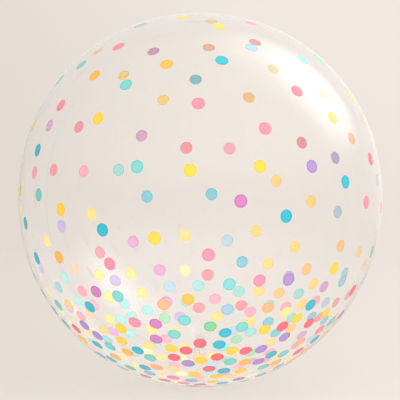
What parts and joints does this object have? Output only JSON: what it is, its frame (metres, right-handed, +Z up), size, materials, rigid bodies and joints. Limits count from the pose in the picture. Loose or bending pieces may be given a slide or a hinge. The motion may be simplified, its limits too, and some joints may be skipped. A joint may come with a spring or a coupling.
{
  "type": "printed bubble balloon",
  "caption": "Round see-through balloon, blown up and tied off, printed with pastel dots that crowd towards its lower end; rests on a small flat spot.",
  "frame": {"origin": "middle of the small flat spot that the balloon rests on", "axes": "+Z up from the flat spot to the crown, +Y towards the side that the tied neck is on, -Y towards the side that faces the viewer"},
  "size_m": [0.5478, 0.5478, 0.56],
  "materials": {
    "clear_film": "glossy clear plastic film with printed dots"
  },
  "bodies": {
    "root": {"balloon_envelope": "clear_film"}
  },
  "joints": []
}
